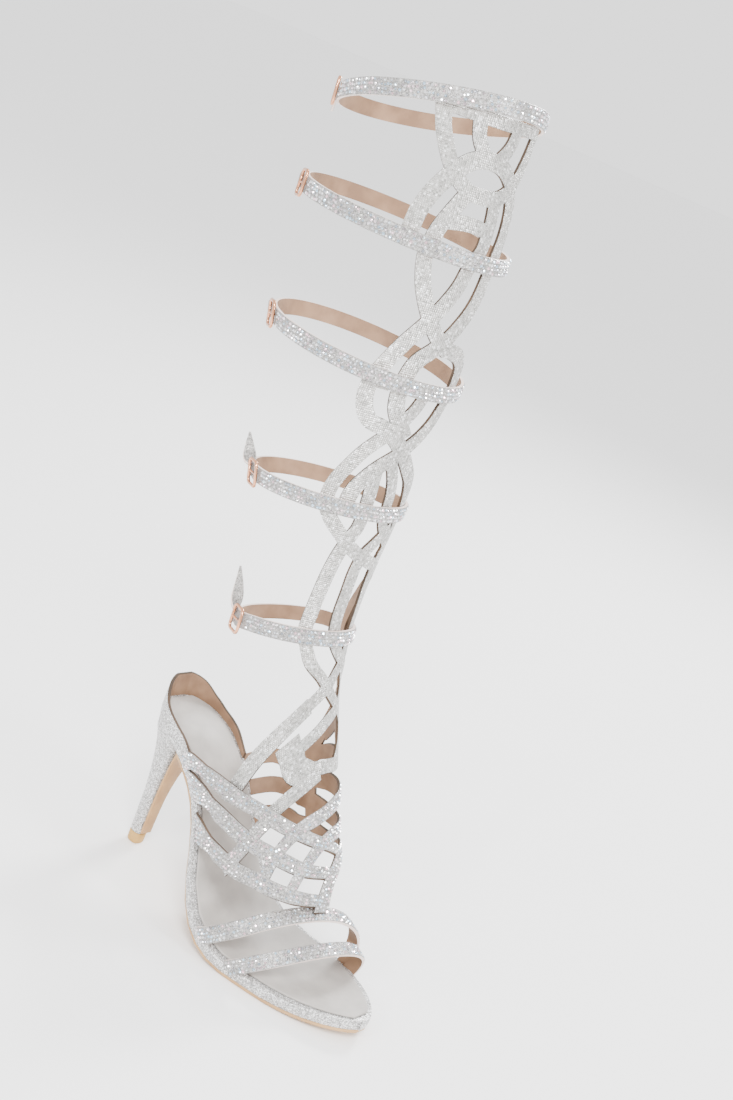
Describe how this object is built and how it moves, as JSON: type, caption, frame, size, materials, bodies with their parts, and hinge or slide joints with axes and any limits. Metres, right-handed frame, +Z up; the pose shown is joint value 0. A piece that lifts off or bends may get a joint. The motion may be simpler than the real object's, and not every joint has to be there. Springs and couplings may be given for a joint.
{
  "type": "gladiator sandal",
  "caption": "Right knee-high gladiator sandal with a slim high heel, a pierced front panel, buckled calf straps and an open toe cage.",
  "frame": {"origin": "middle of the heel tip's bottom face, on the floor", "axes": "+Z up the shaft, -Y toward the toe, +X toward the wearer's inner side"},
  "size_m": [0.1182, 0.254, 0.5208],
  "materials": {
    "outsole": "smooth tan outsole and heel breast",
    "sole_wrap": "fine silver glitter wrap",
    "sock": "smooth pale grey",
    "heel_tip": "matt yellowish tan",
    "upper": "silver fabric set with small stones",
    "panel": "silver beaded weave, olive brown cut edges",
    "strap": "set with small stones, pale pink edge",
    "buckle": "polished rose gold"
  },
  "bodies": {
    "root": {"outsole": "outsole", "midsole": "sole_wrap", "insole": "sock", "heel": "sole_wrap", "heel_breast": "outsole", "heel_tip": "heel_tip", "upper": "upper", "shaft": "panel", "strap_1": "strap", "strap_2": "strap", "strap_3": "strap", "strap_4": "strap", "strap_5": "strap", "buckle_1": "buckle", "buckle_2": "buckle", "buckle_3": "buckle", "buckle_4": "buckle", "buckle_5": "buckle"}
  },
  "joints": []
}
